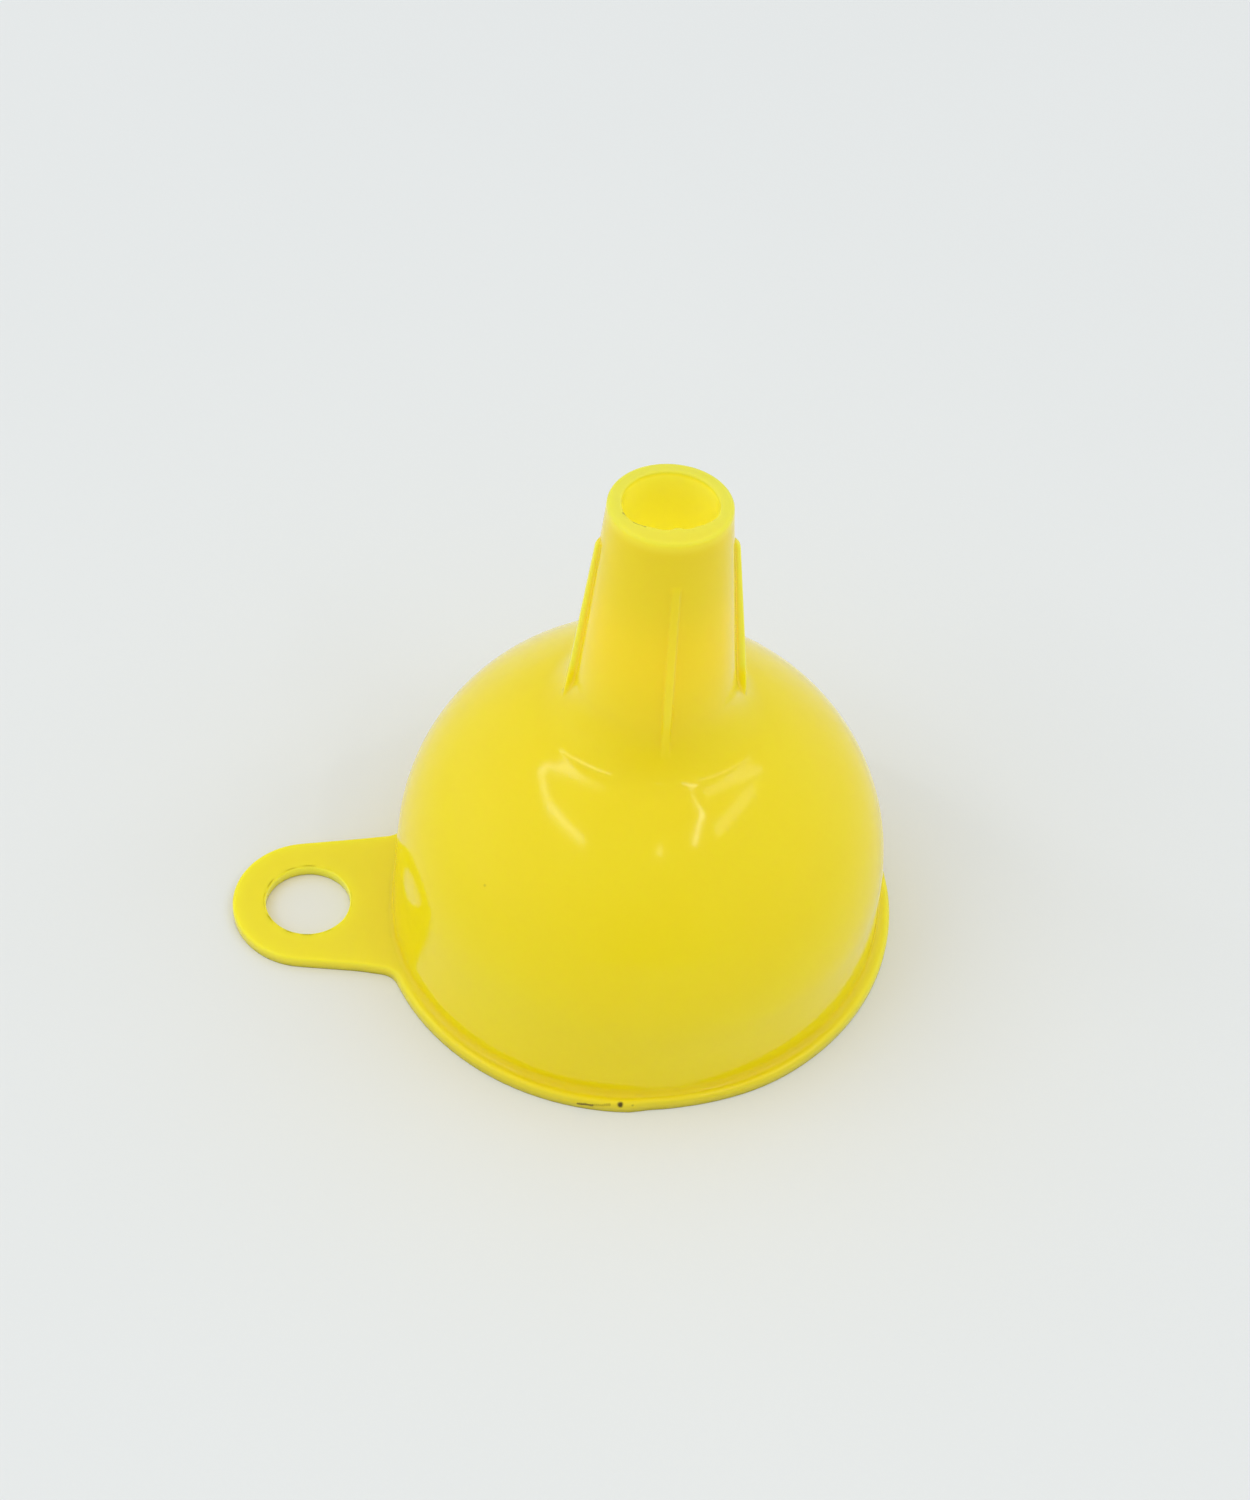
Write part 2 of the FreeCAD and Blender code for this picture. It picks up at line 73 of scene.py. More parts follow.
# Small curves of the moulding that the solids leave sharp.
CREASE_R = 0.8
MOUTH_EASE = 0.2
RIB_FILLET = 0.3
RIB_CREST = 0.28
RIB_DRAFT = 0.05
RIB_REGION_R = 12.0              # beyond this the mesh's columns keep their bearings
SUPPORT = 0.08                   # width of the ring that keeps a flat face flat up to its edge

# How this one came out of its mould and was trimmed. Bearings are in degrees from +X.
# Each pair is where something starts to change and where that change is complete.
RIM_OVAL = {"mean": 0.25, "amount": 0.5, "bearing": 32.6,
            "heights": (FLANGE_T, 14.0), "radii": (30.2, 35.0)}
RIM_TRIM = {"depth": 0.35, "starts": (-96.0, -89.0), "ends": (-84.0, -58.0),
            "radii": (28.7, 29.4)}
TIP_CUT_RISE = 1.0               # the spout's end is cut a little out of square
TIP_CUT_FROM = 62.5
RIB_SHARES = (1.3, 1.0, 1.0, 0.33)   # of the ribs' height, at 0, 90, 180 and 270 degrees
FRONT_RIB_TURN = {"degrees": 3.8, "bearing": -90.0, "width": 25.0, "heights": (11.0, 33.6)}
FLASH = {"depth": 0.75, "bearing": -88.0, "ends": (24.5, 70.0), "bump": 0.4, "bump_width": 10.0,
         "heights": (64.1, 65.7), "radii": (5.55, 6.15)}

# Fineness of the mesh.
ARC_COLUMNS = 28                 # columns between two ribs
HOLE_POINTS = 72
TAB_FILLET_POINTS, TAB_SIDE_POINTS, TAB_END_POINTS = 12, 8, 34
TAB_GRID = 1.6                   # spacing of the points on the tab's flat faces
TAB_GRID_ROW = 0.866             # rows' distance in spacings, for even triangles
TAB_GRID_CLEAR = 0.45            # least distance from an edge, in spacings
RIB_END_FROM, RIB_END_TO = 60.6, 62.8   # heights between which the rings lie closer


# ---------------------------------------------------------------- profile of the body

SLOPE = (CONE_FOOT - TIP_R) / HEIGHT
DOME_C = np.array([BOWL_R - DOME_R, SKIRT_TOP])
SHOULDER_RAY = np.array([math.cos(SHOULDER_FROM), math.sin(SHOULDER_FROM)])
SHOULDER_C = DOME_C + (DOME_R - SHOULDER_R) * SHOULDER_RAY


def cone_radius(z):
    return CONE_FOOT - SLOPE * z


def neck_centre():
    """Centre of the neck's arc, which touches the cone and the shoulder from outside."""
    along = np.array([-SLOPE, 1.0]) / math.hypot(1.0, SLOPE)
    outward = np.array([along[1], -along[0]])
    start = np.array([CONE_FOOT, 0.0]) + outward * NECK_R
    across = start - SHOULDER_C
    half = along @ across
    step = -half + math.sqrt(half ** 2 - across @ across + (SHOULDER_R + NECK_R) ** 2)
    return start + along * step


NECK_C = neck_centre()
SHOULDER_END = math.atan2(NECK_C[1] - SHOULDER_C[1], NECK_C[0] - SHOULDER_C[0])
NECK_START = SHOULDER_END + math.pi
NECK_END = math.pi + math.atan2(SLOPE, 1.0)


def arc(centre, radius, start, end, steps, first=True):
    angles = np.linspace(start, end, steps + 1)[0 if first else 1:]
    return [(centre[0] + radius * math.cos(a), centre[1] + radius * math.sin(a)) for a in angles]


def line(start, end, steps):
    """Points after start, up to and with end."""
    return [tuple(np.array(start) + (np.array(end) - np.array(start)) * (i + 1) / steps)
            for i in range(steps)]


def outer_profile():
    """From the crease above the flange, over the dome, to the spout's rounded end."""
    crease_c = (BOWL_R + CREASE_R, FLANGE_T + CREASE_R)
    points = arc(crease_c, CREASE_R, 1.5 * math.pi, math.pi, 5)
    points += line(points[-1], (BOWL_R, SKIRT_TOP), 12)
    points += arc(DOME_C, DOME_R, 0.0, SHOULDER_FROM, 28, first=False)
    points += arc(SHOULDER_C, SHOULDER_R, SHOULDER_FROM, SHOULDER_END, 16, first=False)
    points += arc(NECK_C, NECK_R, NECK_START, NECK_END, 22, first=False)
    points += line(points[-1], (cone_radius(RIB_END_FROM), RIB_END_FROM), 38)
    points += line(points[-1], (cone_radius(RIB_END_TO), RIB_END_TO), 16)
    lip_z = HEIGHT - LIP_ROUND
    points += line(points[-1], (cone_radius(lip_z), lip_z), 5)
    lip_c = (cone_radius(lip_z) - LIP_ROUND, lip_z)
    points += arc(lip_c, LIP_ROUND, 0.0, 0.5 * math.pi, 6, first=False)
    return points


def inner_profile():
    """From the spout's end down the bore and the bowl's inside to the mouth's edge."""
    lean = math.hypot(1.0, SLOPE)
    tip = cone_radius(HEIGHT) - WALL * lean
    bore_c = (tip + BORE_EASE, HEIGHT - BORE_EASE)
    points = [(bore_c[0] + SUPPORT, HEIGHT)]
    points += arc(bore_c, BORE_EASE, 0.5 * math.pi, math.pi, 4)
    neck = arc(NECK_C, NECK_R + WALL, NECK_END, NECK_START, 16)
    points += line(points[-1], neck[0], 34) + neck[1:]
    points += arc(SHOULDER_C, SHOULDER_R - WALL, SHOULDER_END, SHOULDER_FROM, 14, first=False)
    points += arc(DOME_C, DOME_R - WALL, SHOULDER_FROM, 0.0, 26, first=False)
    mouth_r = BOWL_R - WALL
    points += line((mouth_r, SKIRT_TOP), (mouth_r, MOUTH_EASE), 10)
    points += arc((mouth_r + MOUTH_EASE, MOUTH_EASE), MOUTH_EASE, math.pi, 1.5 * math.pi, 3,
                  first=False)
    return points


# ---------------------------------------------------------------- ribs

def crest_radius(z):
    """Distance of a rib's crest from the axis at a height: a line with a rounded upper end."""
    (x0, z0), (x1, z1) = RIB_FOOT, RIB_TOP
    lean = (x1 - x0) / (z1 - z0)
    start = -math.atan(lean)
    centre_z = z1 - RIB_SHOULDER
    centre_x = x0 + lean * (centre_z - z0) - RIB_SHOULDER * math.hypot(1.0, lean)
    if z <= centre_z + RIB_SHOULDER * math.sin(start):
        return x0 + lean * (z - z0)
    inside = RIB_SHOULDER ** 2 - (z - centre_z) ** 2
    return centre_x + math.sqrt(inside) if inside > 0 else 0.0


def soft_positive(value, width=0.12):
    """Positive part of a value, with a smooth start."""
    return 0.5 * (value + math.sqrt(value * value + width * width)) - 0.5 * width * (
        1.0 if value > 0 else math.exp(value / width))


def rib_section(height):
    """Half section of a rib from its middle to beyond its foot, as (across, rise) pairs."""
    crest = min(RIB_CREST, 0.45 * height)
    foot = min(RIB_FILLET, 0.45 * height)
    top_half = RIB_HALF - RIB_DRAFT
    points = [(0.0, height)]
    for a in np.linspace(0.5 * math.pi, 0.0, 5):
        points.append((top_half - RIB_CREST + RIB_CREST * math.cos(a),
                       height - crest + crest * math.sin(a)))
    for a in np.linspace(math.pi, 1.5 * math.pi, 5):
        points.append((RIB_HALF + RIB_FILLET + RIB_FILLET * math.cos(a),
                       foot + foot * math.sin(a)))
    points.append((RIB_HALF + RIB_FILLET + 0.15, 0.0))
    return points


HALF_COLUMNS = len(rib_section(0.0))
RIB_COLUMNS = 2 * HALF_COLUMNS - 1
COLUMNS = 4 * (RIB_COLUMNS + ARC_COLUMNS)


def ring(radius, z, rib_height):
    """One ring of the body's mesh, as an array of points; rib_height is 0 away from the ribs."""
    spread = min(max(radius, TIP_R - WALL), RIB_REGION_R)
    points = []
    for turn, share in enumerate(RIB_SHARES):
        polar = []
        for across, rise in rib_section(rib_height * share):
            if radius <= RIB_REGION_R:
                wall = math.sqrt(radius ** 2 - across ** 2)
                polar.append((math.atan2(across, wall + rise), math.hypot(across, wall + rise)))
            else:
                polar.append((math.asin(across / spread), radius))
        rib = [(-a, r) for a, r in reversed(polar)] + polar[1:]
        edge = polar[-1][0]
        gap = np.linspace(edge, 0.5 * math.pi - edge, ARC_COLUMNS + 2)[1:-1]
        for a, r in rib + [(a, radius) for a in gap]:
            b = a + turn * 0.5 * math.pi
            points.append((r * math.cos(b), r * math.sin(b), z))
    return np.array(points)


# ---------------------------------------------------------------- tab

def tab_outline():
    """The tab's outline from one side of the rim to the other, as (point, normal) pairs, on
    its +Y side first. The half outline is mirrored."""
    hole = np.array([-TAB_REACH, 0.0])
    root = np.array([-RIM_R, TAB_ROOT_HALF])
    to_root = root - hole
    turn = math.acos(TAB_END_R / np.linalg.norm(to_root))
    touch_angle = math.atan2(to_root[1], to_root[0]) + turn
    outward = np.array([math.cos(touch_angle), math.sin(touch_angle)])
    touch = hole + outward * TAB_END_R
    along = (root - touch) / np.linalg.norm(root - touch)
    start = touch + outward * TAB_FILLET
    half = along @ start
    step = -half - math.sqrt(half ** 2 - start @ start + (RIM_R + TAB_FILLET) ** 2)
    corner = start + along * step
    pairs = []
    to_rim = math.atan2(-corner[1], -corner[0])
    to_side = math.atan2(-outward[1], -outward[0])
    for a in np.linspace(to_rim, to_side, TAB_FILLET_POINTS):
        ray = np.array([math.cos(a), math.sin(a)])
        pairs.append((corner + ray * TAB_FILLET, -ray))
    for i in range(1, TAB_SIDE_POINTS):
        pairs.append((touch + along * step * (1 - i / TAB_SIDE_POINTS), outward))
    for a in np.linspace(touch_angle, math.pi, TAB_END_POINTS):
        ray = np.array([math.cos(a), math.sin(a)])
        pairs.append((hole + ray * TAB_END_R, ray))
    mirror = [(p * (1, -1), n * (1, -1)) for p, n in reversed(pairs[:-1])]
    return pairs + mirror


def edge_section(round_r, ease_r):
    """The moulding's outer edge from underside to top, as (inset, height) pairs."""
    points = [(ease_r + SUPPORT, 0.0)]
    for a in np.linspace(0.0, 0.5 * math.pi, 4):
        points.append((ease_r * (1 - math.sin(a)), ease_r * (1 - math.cos(a))))
    for a in np.linspace(0.0, 0.5 * math.pi, 7):
        points.append((round_r * (1 - math.cos(a)), FLANGE_T - round_r * (1 - math.sin(a))))
    points.append((round_r + SUPPORT, FLANGE_T))
    return points


# ---------------------------------------------------------------- the skin

class Skin:
    """Vertices and faces of one closed mesh."""

    def __init__(self):
        self.points = []
        self.faces = []

    def add(self, points):
        first = len(self.points)
        self.points.extend(tuple(float(c) for c in p) for p in points)
        return list(range(first, len(self.points)))

    def strip(self, lower, upper, closed=True):
        """Quads between two rows of vertices of equal length."""
        count = len(lower)
        for i in range(count if closed else count - 1):
            j = (i + 1) % count
            self.faces.append((lower[i], lower[j], upper[j], upper[i]))

    def flat(self, outline, hole, z, upward):
        """Triangles of a flat face between an outline and a hole, both loops of vertices."""
        loops = [outline, hole]
        coords = [Vector(self.points[i][:2]) for loop in loops for i in loop]
        owners = [i for loop in loops for i in loop]
        edges = []
        first = 0
        for loop in loops:
            edges += [(first + i, first + (i + 1) % len(loop)) for i in range(len(loop))]
            first += len(loop)
        outline_xy = np.array([self.points[i][:2] for i in outline])
        fill = grid_inside(outline_xy)
        owners += self.add([(x, y, z) for x, y in fill])
        coords += [Vector(p) for p in fill]
        found, _, triangles, origins, _, _ = delaunay_2d_cdt(coords, edges, [], 0, 1e-7)
        for triangle in triangles:
            centre = sum((found[i] for i in triangle), Vector((0.0, 0.0))) / 3.0
            in_hole = math.hypot(centre.x + TAB_REACH, centre.y) < HOLE_R + HOLE_EASE
            if in_hole or not contains(outline_xy, centre):
                continue
            face = [owners[origins[i][0]] for i in triangle]
            a, b, c = (found[i] for i in triangle)
            turns_left = (b - a).cross(c - a) > 0
            self.faces.append(tuple(face if turns_left == upward else reversed(face)))


def contains(outline, point):
    x, y = point
    x0, y0 = outline[:, 0], outline[:, 1]
    x1, y1 = np.roll(x0, -1), np.roll(y0, -1)
    crosses = (y0 > y) != (y1 > y)
    at = x0 + (y - y0) * (x1 - x0) / np.where(y1 == y0, 1.0, y1 - y0)
    return bool(np.count_nonzero(crosses & (x < at)) % 2)


def grid_inside(outline):
    """A triangular grid inside the outline, clear of it and of the hang hole."""
    low, high = outline.min(0), outline.max(0)
    clear = TAB_GRID_CLEAR * TAB_GRID
    points = []
    for row, y in enumerate(np.arange(low[1], high[1], TAB_GRID * TAB_GRID_ROW)):
        for x in np.arange(low[0] + (row % 2) * TAB_GRID / 2, high[0], TAB_GRID):
            gap = np.hypot(outline[:, 0] - x, outline[:, 1] - y).min()
            hole_gap = math.hypot(x + TAB_REACH, y) - HOLE_R - HOLE_EASE
            if gap > clear and hole_gap > clear and contains(outline, (x, y)):
                points.append((x, y))
    return points


def column_angles(ring_points):
    return np.unwrap(np.arctan2(ring_points[:, 1], ring_points[:, 0]))


def build_skin():
    skin = Skin()
    rows = []
    for r, z in outer_profile():
        rise = 0.0
        if RIB_FOOT[1] - 1.0 < z < RIB_TOP[1] + 0.2:
            rise = max(0.0, soft_positive(crest_radius(z) - r))
        rows.append(skin.add(ring(r, z, rise)))
    for r, z in inner_profile():
        rows.append(skin.add(ring(r, z, 0.0)))
    for lower, upper in zip(rows, rows[1:]):
        skin.strip(lower, upper)
    crease_row, mouth_row = rows[0], rows[-1]

    angles = column_angles(np.array([skin.points[i] for i in crease_row]))
    outline = tab_outline()
    root_angle = math.atan2(outline[0][0][1], outline[0][0][0])
    first = max(i for i in range(COLUMNS) if angles[i] < root_angle - 0.01)
    last = min(i for i in range(COLUMNS) if angles[i] > math.tau - root_angle + 0.01)
    rim_columns = [i % COLUMNS for i in range(last, COLUMNS + first + 1)]
    tab_columns = list(range(first, last + 1))

    # the rim's edge, away from the tab
    section = edge_section(FLANGE_ROUND, FLANGE_EASE)
    rim_rows = []
    for inset, z in section:
        radius = RIM_R - inset
        rim_rows.append(skin.add([(radius * math.cos(angles[i]), radius * math.sin(angles[i]), z)
                                  for i in rim_columns]))
    for lower, upper in zip(rim_rows, rim_rows[1:]):
        skin.strip(lower, upper, closed=False)
    skin.strip(rim_rows[-1], [crease_row[i] for i in rim_columns], closed=False)
    skin.strip([mouth_row[i] for i in rim_columns], rim_rows[0], closed=False)

    # the tab's edge, whose rounding grows into the rim's at both ends
    count = len(outline)
    tab_rows = [[row[-1]] for row in rim_rows]
    for k, (point, normal) in enumerate(outline):
        near_end = max(0.0, 1.0 - min(k, count - 1 - k) / (TAB_FILLET_POINTS - 1))
        blend = near_end * near_end * (3.0 - 2.0 * near_end)
        round_r = TAB_ROUND + (FLANGE_ROUND - TAB_ROUND) * blend
        ease_r = TAB_EASE + (FLANGE_EASE - TAB_EASE) * blend
        for row, (inset, z) in zip(tab_rows, edge_section(round_r, ease_r)):
            x, y = point - normal * inset
            row += skin.add([(x, y, z)])
    for row, rim_row in zip(tab_rows, rim_rows):
        row.append(rim_row[0])
    for lower, upper in zip(tab_rows, tab_rows[1:]):
        skin.strip(lower, upper, closed=False)

    # the hang hole's wall, from top to underside
    hole_rows = []
    for inset, z in reversed(edge_section(HOLE_EASE, HOLE_EASE)):
        radius = HOLE_R + inset
        turn = [math.tau * k / HOLE_POINTS for k in range(HOLE_POINTS)]
        hole_rows.append(skin.add([(radius * math.cos(a) - TAB_REACH, radius * math.sin(a), z)
                                   for a in turn]))
    for lower, upper in zip(hole_rows, hole_rows[1:]):
        skin.strip(lower, upper)

    top = [crease_row[i] for i in reversed(tab_columns)] + tab_rows[-1]
    under = [mouth_row[i] for i in reversed(tab_columns)] + tab_rows[0]
    skin.flat(top, hole_rows[0], FLANGE_T, upward=True)
    skin.flat(under, hole_rows[-1], 0.0, upward=False)
    return skin


def smooth_step(low, high, value):
    share = np.clip((value - low) / (high - low), 0.0, 1.0)
    return share * share * (3.0 - 2.0 * share)


def turned_from(bearings, centre):
    """Signed angle in degrees from a bearing, between -180 and 180."""
    return (bearings - centre + 180.0) % 360.0 - 180.0


def settle(points):
    """Moves the nominal points to where this moulding has them."""
    x, y, z = points.T
    radius = np.hypot(x, y)
    bearings = np.degrees(np.arctan2(y, x))

    # the rim is a little oval, less so further up the skirt and out on the tab
    twice = 2.0 * np.radians(bearings - RIM_OVAL["bearing"])
    swell = RIM_OVAL["mean"] + RIM_OVAL["amount"] * np.cos(twice)
    swell *= 1.0 - smooth_step(*RIM_OVAL["heights"], z)
    swell *= 1.0 - smooth_step(*RIM_OVAL["radii"], radius)

    # a flat on the rim's edge, where the runner was cut off
    trim = RIM_TRIM["depth"] * smooth_step(*RIM_TRIM["starts"], bearings)
    trim *= 1.0 - smooth_step(*RIM_TRIM["ends"], bearings)
    trim *= smooth_step(*RIM_TRIM["radii"], radius)

    # flash left on the bore's edge at the front of the spout's end
    turn = turned_from(bearings, FLASH["bearing"])
    flash = FLASH["depth"] * (1.0 - smooth_step(*FLASH["ends"], np.abs(turn)))
    flash += FLASH["bump"] * np.exp(-(turn / FLASH["bump_width"]) ** 2)
    flash *= smooth_step(*FLASH["heights"], z)
    flash *= 1.0 - smooth_step(*FLASH["radii"], radius)

    # the front rib stands a little further round than the others
    shift = turned_from(bearings, FRONT_RIB_TURN["bearing"]) / FRONT_RIB_TURN["width"]
    nearness = np.exp(-shift ** 2) * smooth_step(*FRONT_RIB_TURN["heights"], z)
    turned = np.radians(bearings + FRONT_RIB_TURN["degrees"] * nearness)

    radius = radius + (swell - trim - flash) * np.minimum(radius, 1.0)
    rise = TIP_CUT_RISE * smooth_step(TIP_CUT_FROM, HEIGHT, z) * (0.5 - y / (2.0 * TIP_R))
    return np.column_stack((radius * np.cos(turned), radius * np.sin(turned), z + rise))


def make_moulding():
    skin = build_skin()
    points = settle(np.array(skin.points)) * MM
    mesh = bpy.data.meshes.new("funnel_moulding")
    mesh.from_pydata(points.tolist(), [], skin.faces)
    mesh.validate()
    mesh.shade_smooth()
    obj = bpy.data.objects.new("funnel_moulding", mesh)
    bpy.context.scene.collection.objects.link(obj)
    return obj


# ---------------------------------------------------------------- material

class Graph:
    """A material's or world's node tree, with short ways to add the nodes used here."""

    def __init__(self, owner):
        owner.use_nodes = True
        self.nodes, self.links = owner.node_tree.nodes, owner.node_tree.links

    def set(self, socket, value):
        if isinstance(value, bpy.types.NodeSocket):
            self.links.new(value, socket)
        else:
            socket.default_value = value

    def math(self, operation, *values):
        node = self.nodes.new("ShaderNodeMath")
        node.operation = operation
        for socket, value in zip(node.inputs, values):
            self.set(socket, value)
        return node.outputs[0]

    def vector(self, operation, *values):
        node = self.nodes.new("ShaderNodeVectorMath")
        node.operation = operation
        for socket, value in zip(node.inputs, values):
            self.set(socket, value)
        return node.outputs["Value" if operation in ("DOT_PRODUCT", "LENGTH", "DISTANCE") else 0]

    def ramp(self, value, low, high, to_low=0.0, to_high=1.0):
        node = self.nodes.new("ShaderNodeMapRange")
        node.interpolation_type = "SMOOTHSTEP"
        for socket, number in zip(node.inputs, (value, low, high, to_low, to_high)):
            self.set(socket, number)
        return node.outputs[0]

    def product(self, first, *others):
        for other in others:
            first = self.math("MULTIPLY", first, other)
        return first

    def split(self, vector):
        """The three components of a vector, by name."""
        node = self.nodes.new("ShaderNodeSeparateXYZ")
        self.set(node.inputs[0], vector)
        return node.outputs

    def noise(self, position, scale, detail):
        node = self.nodes.new("ShaderNodeTexNoise")
        self.set(node.inputs["Vector"], position)
        node.inputs["Scale"].default_value = scale
        node.inputs["Detail"].default_value = detail
        return node.outputs["Fac"], node.outputs["Color"]

    def bump(self, height, distance, strength):
        node = self.nodes.new("ShaderNodeBump")
        node.inputs["Strength"].default_value = strength
        node.inputs["Distance"].default_value = distance
        self.set(node.inputs["Height"], height)
        return node.outputs["Normal"]

    def mix(self, factor, low, high):
        node = self.nodes.new("ShaderNodeMix")
        node.data_type = "RGBA"
        for index, value in ((0, factor), (6, low), (7, high)):
            self.set(node.inputs[index], value)
        return node.outputs[2]


# The plastic's own yellow varies at random; over it lie painted light, where light comes through
# the thin plastic, and painted shade on the edges and at the front.
BODY_COLOR_LOW = (0.935, 0.68, 0.005, 1.0)
BODY_COLOR_HIGH = (0.965, 0.725, 0.010, 1.0)
SPOUT_PAINTED_LIGHT = (0.80, 0.655, 0.010, 1.0)
END_PAINTED_LIGHT = (0.86, 0.75, 0.050, 1.0)
RIB_PAINTED_LIGHT = (0.84, 0.75, 0.055, 1.0)
RIM_PAINTED_LIGHT = (0.90, 0.795, 0.045, 1.0)
RIM_FRONT_PAINTED_SHADE = (0.83, 0.66, 0.020, 1.0)
EDGE_PAINTED_SHADE = (0.86, 0.70, 0.040, 1.0)
EDGE_FRONT_PAINTED_SHADE = (0.74, 0.60, 0.030, 1.0)
HOLE_PAINTED_LIGHT = (1.0, 0.84, 0.070, 1.0)
LIP_PAINTED_LIGHT = (0.71, 0.67, 0.068, 1.0)
BORE_PAINTED_LIGHT = (1.0, 0.86, 0.11, 1.0)

# Gloss, translucence and unevenness of the plastic. Noise scales are in 1/m, depths in metres.
SPECULAR = 0.27
IOR = 1.49
ROUGHNESS = (0.09, 0.13)
SUBSURFACE = 0.0025
SUBSURFACE_RADIUS = (1.0, 1.0, 0.3)
CLOUD_SCALE, RIPPLE_SCALE, FINE_SCALE = 70.0, 160.0, 900.0
FINE_SHARE = 0.12                # of the fine noise, in the ripple
RIPPLE_DEPTH = 0.00006

# Specks and stains on the moulding: place and radius in mm, and how dark.
SPECKS = (((-18.8, -16.1, 23.9), 0.2, 0.2), ((-3.4, -29.8, 1.28), 0.42, 0.95),
          ((-2.0, -29.9, 1.28), 0.22, 0.5))
STREAKS = (((-8.1, -29.2, 0.8), (-6.5, -29.5, 0.9), 0.22, 0.8),
           ((-6.5, -29.5, 0.9), (-4.6, -29.7, 1.2), 0.2, 0.35),
           ((-4.96, -1.6, 66.84), (-3.96, -3.08, 66.95), 0.26, 0.55),
           ((-3.96, -3.08, 66.95), (-2.92, -3.72, 67.02), 0.26, 0.65))
STREAK_STEPS = 9
DIRT_SCALE = 1500.0
DIRT_WARP = 0.0003               # how far their outlines wander, in metres
DIRT_COLOR = (0.07, 0.045, 0.01, 1.0)


def dirt(graph, position):
    """How much of the surface is covered by specks and streaks, from 0 to 1."""
    warp = graph.vector("SCALE", graph.noise(position, DIRT_SCALE, 2.0)[1])
    warp.node.inputs["Scale"].default_value = DIRT_WARP
    mean_warp = Vector((0.5, 0.5, 0.5)) * DIRT_WARP
    place = graph.vector("ADD", position, warp)
    spots = list(SPECKS)
    for start, end, radius, amount in STREAKS:
        for share in np.linspace(0.0, 1.0, STREAK_STEPS):
            spot = Vector(start).lerp(Vector(end), share)
            spots.append((spot, radius, amount))
    total = 0.0
    for spot, radius, amount in spots:
        warped_spot = Vector(spot) * MM + mean_warp
        distance = graph.vector("DISTANCE", place, warped_spot)
        mask = graph.ramp(distance, 0.4 * radius * MM, 1.2 * radius * MM, amount, 0.0)
        total = graph.math("MAXIMUM", mask, total)
    return total


# Where each of these painted lights and shades fades in, in mm: where there is none of it and
# where it is full.
BORE_CONE = CONE_FOOT - WALL
FADES = {
    "spout by height": (42.0, 60.0),
    "rib by height": (41.0, 43.0),
    "rib outside the cone": (CONE_FOOT + 0.1, CONE_FOOT + 0.5),
    "end by height": (65.0, HEIGHT),
    "lip by height": (HEIGHT, HEIGHT + 0.4),
    "lip by y": (-6.0, -1.0),
    "bore inside the cone": (BORE_CONE + 0.25, BORE_CONE + 0.02),
    "bore by height": (40.0, 54.0),
    "bore below the end": (HEIGHT + 0.3, HEIGHT - 0.3),
    "rim by height": (2.0, 1.0),
    "side by y": (-28.0, -8.0),
    "edge outside the hole": (6.5, 7.5),
    "edge by height": (1.6, FLANGE_T),
    "edge outside the skirt": (29.2, 29.5),
    "hole": (5.5, 5.2),
}


def fade(graph, name, value, least=0.0, most=1.0):
    none, full = FADES[name]
    return graph.ramp(value, none * MM, full * MM, least, most)


def paint_spout_light(graph, place, around, tint):
    """Lays painted light over a colour: paler on the spout, its ribs, its end and its lip, and
    brighter in its bore, for light that comes through the thin plastic.
    """
    height = place["Z"]
    # radius that the cone through each point has at height 0
    cone = graph.math("MULTIPLY_ADD", height, SLOPE, around)
    # height, evened out over the spout's end, which isn't quite square
    end_height = graph.math("MULTIPLY_ADD", place["Y"], TIP_CUT_RISE / (2.0 * TIP_R), height)

    # painted light: the spout's wall paler and less red towards its end
    spout_light_share = fade(graph, "spout by height", height)
    # painted light: the ribs paler, as light comes through the thin fins
    rib_light_share = graph.product(fade(graph, "rib outside the cone", cone),
                           fade(graph, "rib by height", height))
    # painted light: the spout's end paler still
    near_end = fade(graph, "end by height", end_height, most=0.6)
    # painted light: the lip's top paler, half as much at the front, which is in shade
    lip_light_share = graph.product(fade(graph, "lip by height", end_height),
                           fade(graph, "lip by y", place["Y"], least=0.5))
    # painted light: the bore brighter, for light that comes in through the wall
    bore_glow_share = graph.product(fade(graph, "bore inside the cone", cone),
                            fade(graph, "bore by height", height),
                            fade(graph, "bore below the end", end_height))

    tint = graph.mix(spout_light_share, tint, SPOUT_PAINTED_LIGHT)
    tint = graph.mix(rib_light_share, tint, RIB_PAINTED_LIGHT)
    tint = graph.mix(near_end, tint, END_PAINTED_LIGHT)
    tint = graph.mix(lip_light_share, tint, LIP_PAINTED_LIGHT)
    return graph.mix(bore_glow_share, tint, BORE_PAINTED_LIGHT)


